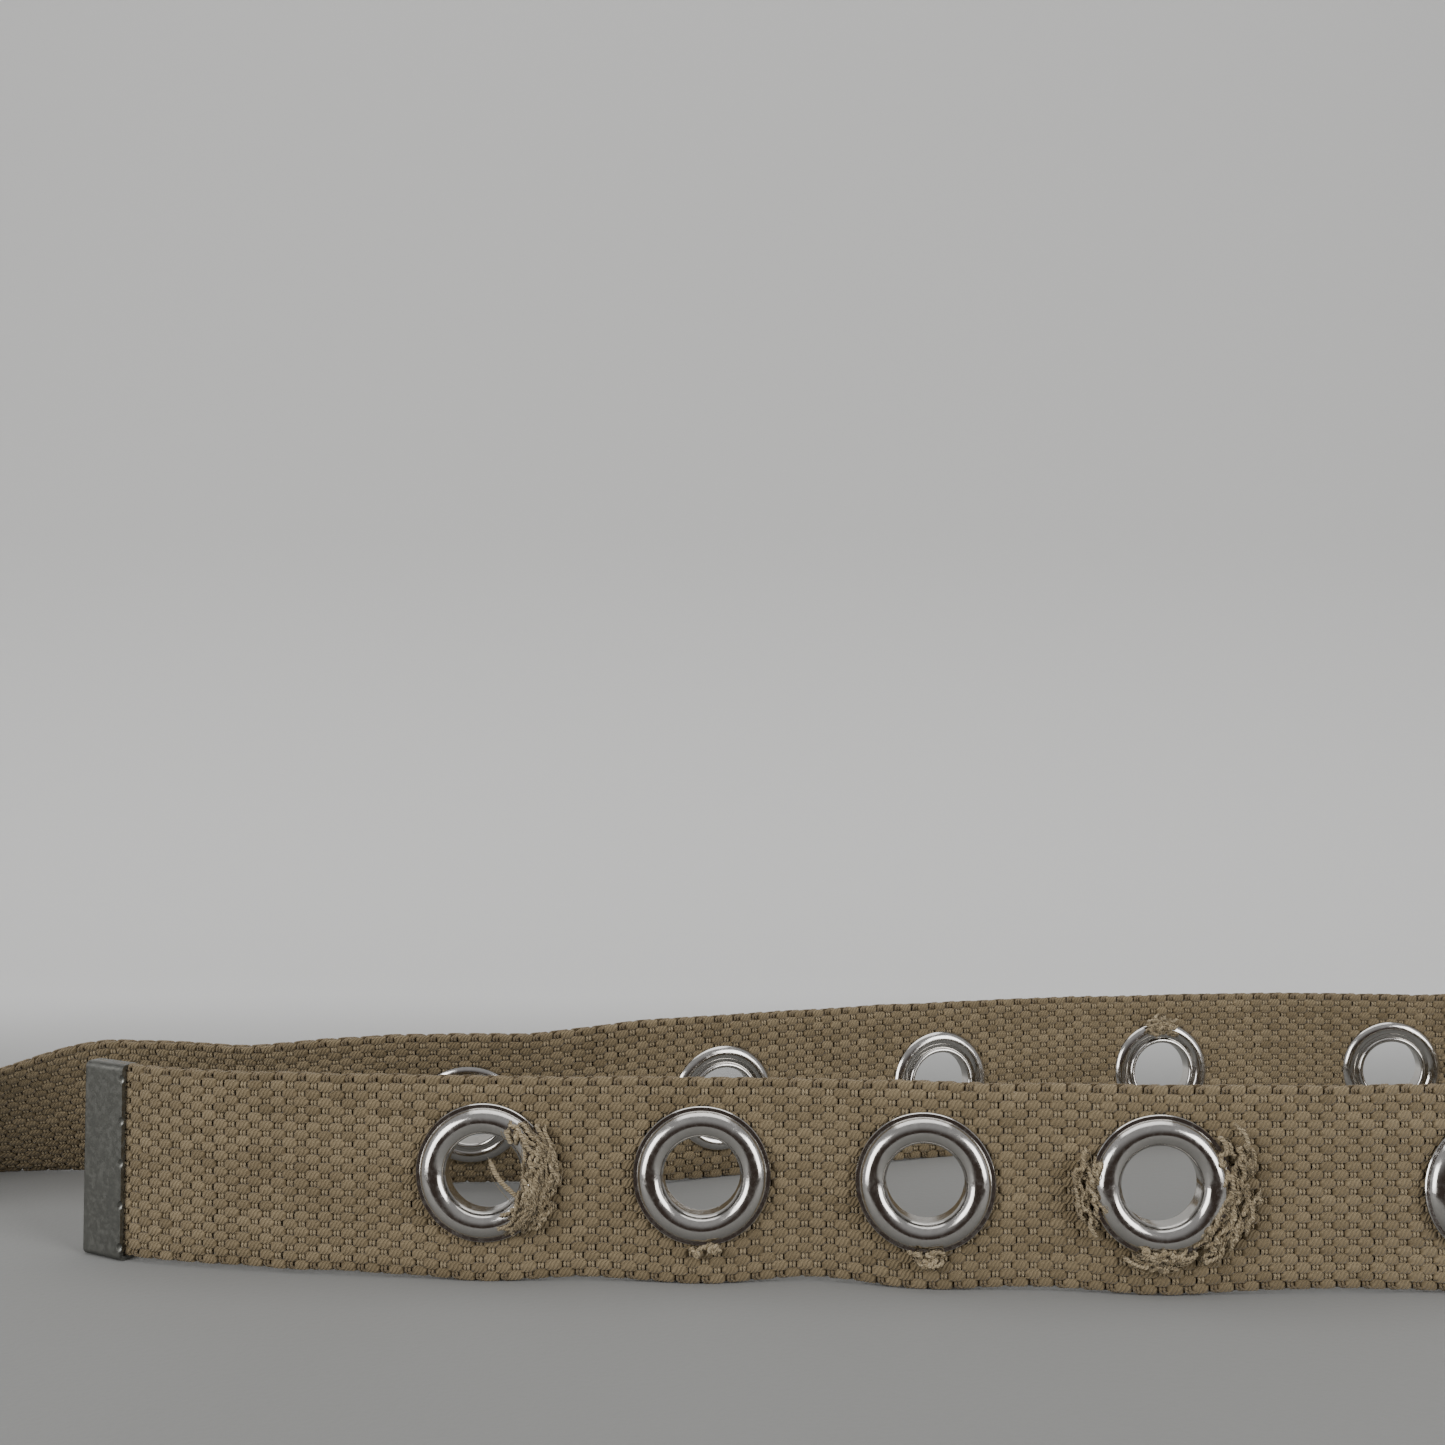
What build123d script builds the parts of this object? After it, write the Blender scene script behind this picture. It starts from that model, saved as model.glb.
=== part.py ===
"""A grommeted webbing belt that stands on its edge in an open loop, with its buckle end lying flat.

Frame: +X runs along the front strand from the end tip towards the round of the loop, +Y points from
the front strand to the back strand, +Z is up. The origin is the bottom centre of the bounding box.
Units are millimetres.
"""
import copy
import os
from math import asin, cos, degrees, pi, radians, sin

from build123d import *

os.makedirs("parts", exist_ok=True)

# ---- driving dimensions -------------------------------------------------------------------------
STRAP_WIDTH = 38.0
STRAP_THICK = 2.5

TIP_LENGTH = 11.0
TIP_HEIGHT = 38.4
TIP_THICK = 4.3
TIP_SHEET = 0.9
TIP_ROUND = 1.2
TIP_NOSE = 0.6
TEETH = 5  # round dents pressed into each side of the tip, along its open edge
TOOTH_PITCH = 8.2
TOOTH_R = 1.1
TOOTH_DEPTH = 0.5

HOLE_R = 7.3  # inside of a grommet's barrel
BARREL_R = 7.8
FLANGE_R = 13.0
BEAD_R = 12.2  # where the domed bead meets the flat rim
BEAD_PEAK_R = 9.75
RIM_HEIGHT = 0.45
BEAD_HEIGHT = 1.9
CLEAR = 0.05  # between the barrel and the holes it passes through
WASHER_R = 12.4
WASHER_PEAK_R = 11.0
WASHER_HEIGHT = 1.15
WASHER_SHEET = 0.45
LIP_R = 8.6  # outside of the barrel's rolled edge
LIP_HEIGHT = 0.7

FLAT_HALF = 13.0  # the webbing is flat this far each side of a grommet's centre

WIRE_R = 2.25  # the buckle frame's wire
BAR_SPACING = 34.0
FRAME_INNER = 41.5
REAR_CORNER_R = 3.3
FRONT_CORNER_R = 6.0
FOLD_GAP = 0.2  # between the heel bar and the webbing folded round it
FOLD_BACK = 44.0  # how far the folded layer runs back from the heel bar
LAYER_GAP = 0.1
FOLD_RISE = 20.0  # the upper layer climbs to the heel bar over this length
RAMP_END = 57.0  # the upper layer comes down to the single strap between FOLD_BACK and here
SLOT_LENGTH = 16.0
SLOT_WIDTH = 6.8

ROLLER_R = 3.25
ROLLER_GAP = 0.08
ROLLER_LENGTH = 32.0

PRONG_WIDTH = 5.2
PRONG_THICK = 1.8
PRONG_GAP = 0.1
PRONG_REACH = 38.0
CURL_END = 285.0  # the curl round the heel bar stops at this angle, in degrees

KEEPER_AT = 26.0  # from the heel bar
KEEPER_LENGTH = 8.0
KEEPER_SHEET = 1.0
KEEPER_SIDE_GAP = 0.4
KEEPER_GAP = 0.5
KEEPER_ROOM = 6.4  # left over the folded strap for the free end
KEEPER_ROUND = 1.0

STITCHES = 11
STITCH_ROWS = (36.5, 40.5)  # from the heel bar
STITCH_PITCH = 3.3
STITCH_LENGTH = 2.6
THREAD_WIDTH = 0.7
THREAD_PROUD = 0.25

# The lying stretch is held up by the keeper under it.
FLAT_LIFT = KEEPER_SHEET + KEEPER_GAP + 0.05

# ---- route of the strap -------------------------------------------------------------------------
# Each stop is (kind, distance from the stop before, heading in degrees, lean in degrees, rise). The
# heading is seen from above, and the lean tips the top edge towards the inside of the loop. The rise
# is how far a grommet sits above the middle of the strap, because the holes were punched by hand.
ROUTE = (
    ("end", 0.0, -28, 0, 0),
    ("bend", 18.3, -11, 0, 0),
    ("grommet", 55.6, -3, 0, 1.6),
    ("grommet", 41.3, -1, 0, 1.4),
    ("grommet", 42.0, -7, 0, 0.9),
    ("grommet", 43.0, -2, 0, 1.3),
    ("grommet", 61.5, 5, 0, 0.5),
    ("grommet", 61.5, 6, 0, 0),
    ("grommet", 61.5, 67, 0, 0.6),
    ("grommet", 61.5, 145, 0, 0),
    ("grommet", 64.0, 177, 5, 0),
    ("grommet", 61.5, 188, 0, 0),
    ("grommet", 61.0, 197, 0, 0),
    ("grommet", 57.5, 200, 2, 0),
    ("grommet", 59.5, 182, 18, -0.5),
    ("grommet", 65.0, 171, 27, 0),
    ("grommet", 61.5, 194, 44, 0),
    ("grommet", 61.5, 180, 90, 0),
)
LAST_GAP = 70.0  # from the last grommet to the heel bar
STEP = 6.0  # longest stretch between two cross-sections in a bend

UP = Vector(0, 0, 1)


def smooth(t):
    """0 to 1 with level ends."""
    return t * t * (3 - 2 * t)


def ahead(heading):
    """Unit vector along a heading."""
    return Vector(cos(radians(heading)), sin(radians(heading)), 0)


def after_arc(point, heading, turn, length):
    """The point at the end of an arc that starts along heading and turns by turn degrees."""
    if abs(turn) < 1e-6:
        return point + ahead(heading) * length
    radius = length / radians(turn)
    a, b = radians(heading), radians(heading + turn)
    return point + Vector(radius * (sin(b) - sin(a)), radius * (cos(a) - cos(b)), 0)


def strap_height(lean, lift=0.0):
    """Height of the strap's middle when its lower edge rests at that lean."""
    a = radians(lean)
    return STRAP_WIDTH / 2 * cos(a) + STRAP_THICK / 2 * sin(a) + lift


def strap_plane(point, tangent, lean):
    """Plane with x along the strap, y across its width and z out of its outer face."""
    side = tangent.cross(UP).normalized()
    rise = side.cross(tangent).normalized()
    a = radians(lean)
    outer = side * cos(a) + rise * sin(a)
    return Plane(origin=point, x_dir=tangent, z_dir=outer)


def lay_route():
    """Section planes down the strap to the last flat, and the plane at each grommet's centre."""
    sections, grommets = [], []
    here = Vector(0, 0, 0)
    kind, _, heading, lean, _ = ROUTE[0]
    flat, lift = 0.0, 0.0
    sections.append(strap_plane(here + UP * strap_height(lean), ahead(heading), lean))
    for next_kind, gap, next_heading, next_lean, above in ROUTE[1:]:
        next_flat = FLAT_HALF if next_kind == "grommet" else 0.0
        next_lift = FLAT_LIFT if next_lean == 90 else 0.0
        here = here + ahead(heading) * flat
        length = gap - flat - next_flat
        count = max(2, round(length / STEP))
        turn, tip_over, rise = next_heading - heading, next_lean - lean, next_lift - lift
        points, leans = [], []
        for k in range(count + 1):
            t = k / count
            spot = after_arc(here, heading, turn * t, length * t)
            leans.append(lean + tip_over * smooth(t))
            points.append(spot + UP * strap_height(leans[-1], lift + rise * smooth(t)))
        for k in range(1, count):
            tangent = (points[k + 1] - points[k - 1]).normalized()
            sections.append(strap_plane(points[k], tangent, leans[k]))
        here = Vector(points[-1].X, points[-1].Y, 0)
        kind, heading, lean, flat, lift = next_kind, next_heading, next_lean, next_flat, next_lift
        sections.append(strap_plane(points[-1], ahead(heading), lean))
        if kind == "grommet":
            here = here + ahead(heading) * FLAT_HALF
            centre = here + UP * strap_height(lean, lift)
            middle = strap_plane(centre, ahead(heading), lean)
            grommets.append(strap_plane(centre + middle.y_dir * above, ahead(heading), lean))
            end = centre + ahead(heading) * FLAT_HALF
            sections.append(strap_plane(end, ahead(heading), lean))
    return sections, grommets


SECTIONS, GROMMETS = lay_route()
TIP_RISE = (TIP_HEIGHT - STRAP_WIDTH) / 2  # the tip stands on the same floor as the strap
TIP_PLANE = Plane(
    origin=SECTIONS[0].origin + SECTIONS[0].y_dir * TIP_RISE,
    x_dir=SECTIONS[0].x_dir,
    z_dir=SECTIONS[0].z_dir,
)
LYING = GROMMETS[-1].origin  # the last grommet, where the strap lies flat and runs towards -X

# ---- buckle end ---------------------------------------------------------------------------------
FOLD_R = WIRE_R + FOLD_GAP + STRAP_THICK / 2  # middle of the webbing round the heel bar
LOWER_Z = LYING.Z  # middle of the folded-back layer
UPPER_Z = LOWER_Z + STRAP_THICK + LAYER_GAP
BAR = Vector(LYING.X - LAST_GAP, LYING.Y, LOWER_Z + FOLD_R)
FRAME_TILT = degrees(asin((BAR.Z - ROLLER_R) / BAR_SPACING))


def fold_sections():
    """Section planes from the last flat up over the heel bar and back under it."""
    planes = []
    steps = 8
    for k in range(1, steps + 1):
        t = k / steps
        u = RAMP_END + (FOLD_BACK - RAMP_END) * t
        z = LOWER_Z + (UPPER_Z - LOWER_Z) * smooth(t)
        slope = (UPPER_Z - LOWER_Z) * 6 * t * (1 - t) / (RAMP_END - FOLD_BACK)
        planes.append(strap_plane(Vector(BAR.X + u, BAR.Y, z), Vector(-1, 0, slope).normalized(), 90))
    top_z = BAR.Z + FOLD_R
    for k in range(steps + 1):
        t = k / steps
        z = UPPER_Z + (top_z - UPPER_Z) * smooth(t)
        slope = (top_z - UPPER_Z) * 6 * t * (1 - t) / FOLD_RISE
        u = FOLD_RISE * (1 - t)
        planes.append(strap_plane(Vector(BAR.X + u, BAR.Y, z), Vector(-1, 0, slope).normalized(), 90))
    turns = 12
    for k in range(1, turns + 1):
        a = pi * k / turns
        outer = Vector(-sin(a), 0, cos(a))
        tangent = Vector(-cos(a), 0, -sin(a))
        planes.append(Plane(origin=BAR + outer * FOLD_R, x_dir=tangent, z_dir=outer))
    end = Vector(BAR.X + FOLD_BACK, BAR.Y, LOWER_Z)
    planes.append(Plane(origin=end, x_dir=Vector(1, 0, 0), z_dir=Vector(0, 0, -1)))
    return planes


def strap_slice(plane, width=STRAP_WIDTH, thick=STRAP_THICK):
    """The strap's cross-section standing across one of its planes."""
    across = Plane(origin=plane.origin, x_dir=plane.z_dir, z_dir=plane.x_dir)
    return across * Rectangle(thick, width)


def make_webbing():
    """The whole strap in one piece, with a hole for each grommet and a slot for the prong."""
    strap = loft([strap_slice(plane) for plane in SECTIONS + fold_sections()], ruled=True)
    length = TIP_LENGTH - TIP_SHEET
    end = Box(length, TIP_HEIGHT - 2 * TIP_SHEET, STRAP_THICK)
    strap += TIP_PLANE * (Pos(-length / 2, 0, 0) * end)
    for plane in GROMMETS:
        strap -= plane * Cylinder(BARREL_R + CLEAR, 3 * STRAP_THICK)
    reach = FOLD_R + STRAP_THICK
    run = SLOT_LENGTH - SLOT_WIDTH / 2
    slot = Pos((run - reach) / 2, 0, 0) * Box(run + reach, SLOT_WIDTH, 8 * STRAP_THICK)
    slot += Pos(run, 0, 0) * Cylinder(SLOT_WIDTH / 2, 8 * STRAP_THICK)
    strap -= Pos(BAR.X, BAR.Y, BAR.Z) * slot
    return strap


def make_tip():
    """Sheet-metal cap pressed over the strap's end, with round dents along its open edge."""
    cap = Pos(-TIP_LENGTH / 2, 0, 0) * Box(TIP_LENGTH, TIP_HEIGHT, TIP_THICK)
    cap = fillet(cap.edges().filter_by(Axis.X), TIP_ROUND)
    cap = fillet(cap.faces().sort_by(Axis.X)[0].edges(), TIP_NOSE)
    lift = TIP_THICK / 2 + TOOTH_R - TOOTH_DEPTH
    for k in range(TEETH):
        y = (k - (TEETH - 1) / 2) * TOOTH_PITCH
        cap -= Pos(0, y, lift) * Sphere(TOOTH_R)
        cap -= Pos(0, y, -lift) * Sphere(TOOTH_R)
    length = TIP_LENGTH - TIP_SHEET
    room = Pos(-length / 2, 0, 0) * Box(length, TIP_HEIGHT - 2 * TIP_SHEET, STRAP_THICK)
    return TIP_PLANE * (cap - room)


# ---- grommets -----------------------------------------------------------------------------------
def make_grommet():
    """Flanged barrel with a domed bead in front and a rolled lip behind, about the local Z axis."""
    face = STRAP_THICK / 2
    seat = -face - WASHER_SHEET
    wall = Line((HOLE_R, face + 0.15), (HOLE_R, seat))
    lip = ThreePointArc((HOLE_R, seat), ((HOLE_R + LIP_R) / 2, seat - LIP_HEIGHT), (LIP_R, seat))
    outside = Polyline(
        (LIP_R, seat),
        (BARREL_R, seat),
        (BARREL_R, face),
        (FLANGE_R, face),
        (FLANGE_R, face + RIM_HEIGHT - 0.15),
        (FLANGE_R - 0.15, face + RIM_HEIGHT),
        (BEAD_R, face + RIM_HEIGHT),
    )
    bead = ThreePointArc(
        (BEAD_R, face + RIM_HEIGHT),
        (BEAD_PEAK_R, face + BEAD_HEIGHT),
        (HOLE_R, face + 0.15),
    )
    return revolve(make_face(Plane.XZ * (wall + lip + outside + bead)), Axis.Z)


def make_washer():
    """Domed ring that the barrel is rolled over, about the local Z axis."""
    face = -STRAP_THICK / 2
    seat = face - WASHER_SHEET
    inner = BARREL_R + CLEAR
    valley = LIP_R + 0.1
    outline = Polyline(
        (valley, seat),
        (inner, seat),
        (inner, face),
        (WASHER_R, face),
        (WASHER_R, face - 0.3),
    )
    dome = ThreePointArc(
        (WASHER_R, face - 0.3),
        (WASHER_PEAK_R, face - WASHER_HEIGHT),
        (valley + 0.7, seat - 0.15),
    )
    slope = Line((valley + 0.7, seat - 0.15), (valley, seat))
    return revolve(make_face(Plane.XZ * (outline + dome + slope)), Axis.Z)


# ---- buckle -------------------------------------------------------------------------------------
def on_buckle(shape):
    """Moves a shape from the buckle's own frame to its place.

    In its own frame the heel bar lies along Y at the origin and the roller bar is towards -X.
    """
    return Pos(BAR.X, BAR.Y, BAR.Z) * Rot(0, -FRAME_TILT, 0) * shape


def make_frame():
    """Wire bent into a rectangle: a heel bar, two arms and a roller bar."""
    half = FRAME_INNER / 2 + WIRE_R
    corners = ((0, 0), (0, half), (-BAR_SPACING, half), (-BAR_SPACING, 0))
    path = FilletPolyline(*corners, radius=(REAR_CORNER_R, FRONT_CORNER_R))
    wire = sweep(Plane(origin=(0, 0, 0), z_dir=(0, 1, 0)) * Circle(WIRE_R), path=path)
    return on_buckle(wire + mirror(wire, Plane.XZ))


def make_roller():
    """Tube that turns on the roller bar, its ends rounded."""
    tube = Cylinder(ROLLER_R, ROLLER_LENGTH) - Cylinder(WIRE_R + ROLLER_GAP, 2 * ROLLER_LENGTH)
    tube = fillet(tube.edges().filter_by(GeomType.CIRCLE), 0.3)
    return on_buckle(Pos(-BAR_SPACING, 0, 0) * Rot(90, 0, 0) * tube)


def make_prong():
    """Flat bar curled round the heel bar, its free end rounded and lying on the roller."""
    inner = WIRE_R + PRONG_GAP
    outer = inner + PRONG_THICK
    climb = degrees(asin((ROLLER_R + PRONG_GAP - inner) / BAR_SPACING))
    a = radians(90 - CURL_END)
    mouth = make_face(
        Polyline((0, 0), (0, 2 * outer), (2 * outer * cos(a), 2 * outer * sin(a)), (0, 0))
    )
    curl = extrude(Plane.XZ * (Circle(outer) - Circle(inner) - mouth), PRONG_WIDTH / 2, both=True)
    plan = SlotOverall(2 * PRONG_REACH, PRONG_WIDTH)
    plan = plan & Pos(-PRONG_REACH, 0) * Rectangle(2 * PRONG_REACH, PRONG_WIDTH)
    arm = extrude(plan, PRONG_THICK)
    top = arm.faces().sort_by(Axis.Z)[-1]
    arm = fillet(top.edges().filter_by(lambda edge: edge.center().X < -0.01), 0.5)
    bar = curl + Pos(0, 0, inner) * arm
    return on_buckle(Rot(0, climb, 0) * bar)


def make_keeper():
    """Flat band bent into a loop round the folded strap, with room above it for the free end."""
    width = STRAP_WIDTH + 2 * KEEPER_SIDE_GAP
    height = UPPER_Z - LOWER_Z + STRAP_THICK + KEEPER_GAP + KEEPER_ROOM
    outer = RectangleRounded(
        width + 2 * KEEPER_SHEET,
        height + 2 * KEEPER_SHEET,
        KEEPER_ROUND + KEEPER_SHEET,
    )
    band = extrude(outer - RectangleRounded(width, height, KEEPER_ROUND), KEEPER_LENGTH / 2, both=True)
    ends = band.faces().filter_by(Axis.Z)
    band = fillet(ends.edges(), 0.3)
    bottom = LOWER_Z - STRAP_THICK / 2 - KEEPER_GAP
    place = Plane(
        origin=(BAR.X + KEEPER_AT, BAR.Y, bottom + height / 2),
        x_dir=(0, 1, 0),
        z_dir=(1, 0, 0),
    )
    return place * band


def make_stitching():
    """Two rows of thread loops that hold the folded layer, each loop through both layers."""
    stack = UPPER_Z - LOWER_Z + STRAP_THICK
    outside = Box(STITCH_LENGTH, THREAD_WIDTH, stack + 2 * THREAD_PROUD)
    outside = fillet(outside.edges().filter_by(Axis.Y), 0.2)
    inside = Box(STITCH_LENGTH - 2 * THREAD_WIDTH, 2 * THREAD_WIDTH, stack)
    loop = Rot(0, 0, 90) * (outside - inside)
    middle = (UPPER_Z + LOWER_Z) / 2
    loops = []
    for u in STITCH_ROWS:
        for k in range(STITCHES):
            y = (k - (STITCHES - 1) / 2) * STITCH_PITCH
            loops.append(Pos(BAR.X + u, BAR.Y + y, middle) * loop)
    return loops


# ---- assembly -----------------------------------------------------------------------------------
def make_all():
    """Every node by name, in the route's own frame."""
    stitching = make_stitching()
    webbing = make_webbing()
    for loop in stitching:
        webbing -= loop
    nodes = {
        "webbing": webbing,
        "tip": make_tip(),
        "buckle_frame": make_frame(),
        "roller": make_roller(),
        "prong": make_prong(),
        "keeper": make_keeper(),
        "fold_stitching": Compound(children=stitching),
    }
    grommet, washer = make_grommet(), make_washer()
    for number, plane in enumerate(GROMMETS, 1):
        nodes[f"grommet_{number:02d}"] = plane * grommet
        nodes[f"washer_{number:02d}"] = plane * washer
    return nodes


NODES = make_all()
BOX = Compound(children=[copy.copy(shape) for shape in NODES.values()]).bounding_box()
SHIFT = Pos(-BOX.center().X, -BOX.center().Y, -BOX.min.Z)

for name, shape in NODES.items():
    export_step(SHIFT * shape, f"parts/{name}.step")

print("size", BOX.size)
print("shift", SHIFT.position)
print("heel bar", (SHIFT * Pos(BAR)).position, "frame tilt", FRAME_TILT)
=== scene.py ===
"""Looks for the grommeted webbing belt: woven webbing yarn by yarn, plated metal, and a soft studio."""
from math import cos, pi, radians, sin

import bpy
import numpy as np
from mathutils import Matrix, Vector


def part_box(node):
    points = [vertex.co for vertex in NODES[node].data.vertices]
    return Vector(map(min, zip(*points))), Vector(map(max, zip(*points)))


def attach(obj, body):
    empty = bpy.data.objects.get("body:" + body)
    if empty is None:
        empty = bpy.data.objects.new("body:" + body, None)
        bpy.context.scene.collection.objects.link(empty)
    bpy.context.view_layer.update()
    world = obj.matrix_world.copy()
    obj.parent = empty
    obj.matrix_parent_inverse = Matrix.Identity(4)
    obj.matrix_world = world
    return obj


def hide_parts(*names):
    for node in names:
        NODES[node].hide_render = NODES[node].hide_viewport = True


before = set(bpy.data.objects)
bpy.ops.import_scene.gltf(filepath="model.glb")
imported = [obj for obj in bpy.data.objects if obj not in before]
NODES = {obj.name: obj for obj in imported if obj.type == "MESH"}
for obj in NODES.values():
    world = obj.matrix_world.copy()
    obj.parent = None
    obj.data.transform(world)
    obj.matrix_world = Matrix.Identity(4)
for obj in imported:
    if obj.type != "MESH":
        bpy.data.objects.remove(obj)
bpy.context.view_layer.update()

# ---- the strap's route, as in the CAD, in millimetres ---------------------------------------------
STRAP_WIDTH, STRAP_THICK = 38.0, 2.5
HALF_WIDTH = STRAP_WIDTH / 2
FLAT_HALF = 13.0  # the webbing is flat this far each side of a grommet's middle
FLAT_LIFT = 1.55  # of the lying stretch, off the floor
FOLD_R = 3.7  # middle of the webbing round the heel bar
FOLD_BACK, FOLD_RISE, RAMP_END = 44.0, 20.0, 57.0  # from the heel bar
LAYER_RISE = 2.6  # from the fold's lower layer to its upper one
BAR_SPACING = 34.0  # from the heel bar to the roller
LAST_GAP = 70.0  # from the last grommet to the heel bar
STEP = 0.5  # between two samples of the route
FOLD_STEP = 0.12  # the same round the heel bar, in radians

# Each stop is (kind, distance from the stop before, heading in degrees, lean in degrees, rise). The heading
# is seen from above, the lean tips the top edge inwards, and the rise is the grommet's above the middle.
ROUTE = (
    ("end", 0.0, -28, 0, 0),
    ("bend", 18.3, -11, 0, 0),
    ("grommet", 55.6, -3, 0, 1.6),
    ("grommet", 41.3, -1, 0, 1.4),
    ("grommet", 42.0, -7, 0, 0.9),
    ("grommet", 43.0, -2, 0, 1.3),
    ("grommet", 61.5, 5, 0, 0.5),
    ("grommet", 61.5, 6, 0, 0),
    ("grommet", 61.5, 67, 0, 0.6),
    ("grommet", 61.5, 145, 0, 0),
    ("grommet", 64.0, 177, 5, 0),
    ("grommet", 61.5, 188, 0, 0),
    ("grommet", 61.0, 197, 0, 0),
    ("grommet", 57.5, 200, 2, 0),
    ("grommet", 59.5, 182, 18, -0.5),
    ("grommet", 65.0, 171, 27, 0),
    ("grommet", 61.5, 194, 44, 0),
    ("grommet", 61.5, 180, 90, 0),
)
RISES = np.array([stop[4] for stop in ROUTE if stop[0] == "grommet"])

# ---- the weave, in millimetres --------------------------------------------------------------------
ROWS = 24
ROW_PITCH = 1.55
COLUMN_PITCH = 2.36
TIP_INSIDE = 9.8  # how far the weave goes into the tip
HOLE_CUT = 10.0  # the yarns end under the flange and the washer at this radius
CORE_CUT = 8.6  # the core ends at this one
CORE_HALF, CORE_STEP, CORE_LINES = 17.6, 1.2, 31
SLOT_LENGTH, SLOT_HALF = 16.0, 3.5
SLOT_REACH = SLOT_LENGTH + FOLD_R * pi / 2  # along the webbing, each way from the heel bar

WARP_HEIGHT = 0.62  # how far a warp yarn's middle goes out of the cloth's middle
WARP_STEEP = 3.2  # how sharply it dives between two beads
WARP_NARROW = 0.50  # half its width where it dives
BEAD_SWELL, BEAD_ROUND = 0.56, 0.38  # how much wider it is at a bead, and how long it stays so
BEAD_OVERHANG = 0.34  # how far a bead bulges over the dives at its two ends
BEAD_RINGS = (-0.5, -0.40, -0.24, 0.0, 0.24, 0.40)  # the rings of one bead, in columns
WARP_THICK = 0.50  # half its thickness
WARP_SIDES = 10
WARP_SQUARE = 0.38  # 0 would be an oval yarn, and 1 a rectangular one
EDGE_HEIGHT, EDGE_WIDTH, EDGE_SWELL = 0.55, 0.92, 0.06  # the outermost yarns lie straighter, like a rope

WEFT_HEIGHT = 0.80
WEFT_APART = 0.32  # half the distance between the two threads of a pair
WEFT_WIDE, WEFT_THICK = 0.31, 0.29  # halves
WEFT_INSET = 0.45  # from the outermost row's outer side to where a pair turns back
WEFT_TURN = (0.25, 0.5, 0.75)  # the rings of a turn, in columns
WEFT_LOOP = (0.34, 0.46, 0.34)  # how far beyond that they are
WEFT_SIDES = 6
WEFT_RINGS = 4  # for each row it crosses

# ---- how the webbing lies, in millimetres -----------------------------------------------------------
SPREAD = 0.02  # how much wider it is at a grommet, as a share
EDGE_LIFT, GROMMET_PRESS = 0.70, 0.45  # off the floor, and what a grommet takes off that
SPREAD_REACH, FREE_REACH = 14.0, 13.0  # how far along the strap a grommet holds it
PINCH, PINCH_R, PINCH_WIDTH = 0.10, 12.0, 1.8  # thinner under the flange, as a share
BULGE, BULGE_R, BULGE_WIDTH = 0.12, 15.2, 1.5  # thicker round the flange
INWARD, TWIST = 0.9, 0.5  # between grommets it sags inwards, and its upper edge leans out
TIP_HOLDS = (2.0, 14.0)  # no sag up to the first, all of it the second further on
LYING_HOLDS = (5.0, 20.0)  # none from the first past the last grommet, all of it the second before that


def smooth(t):
    """0 to 1 with level ends."""
    return t * t * (3 - 2 * t)


def rough(x, period, seed, amount=1.0):
    """Smooth noise along x, from -amount to amount, with about one swing in each period."""
    rng = np.random.default_rng(seed)
    knots = rng.uniform(-1, 1, 4096)
    t = np.asarray(x, float) / period + 64.0  # clear of the first knot, where x is a little below 0
    k = np.floor(t).astype(int) % (len(knots) - 1)
    f = smooth(t - np.floor(t))
    return amount * (knots[k] * (1 - f) + knots[k + 1] * f)


def hump(x, middle, width):
    """1 at the middle, falling to 0 about the width away."""
    return np.exp(-(((x - middle) / width) ** 2))


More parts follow.
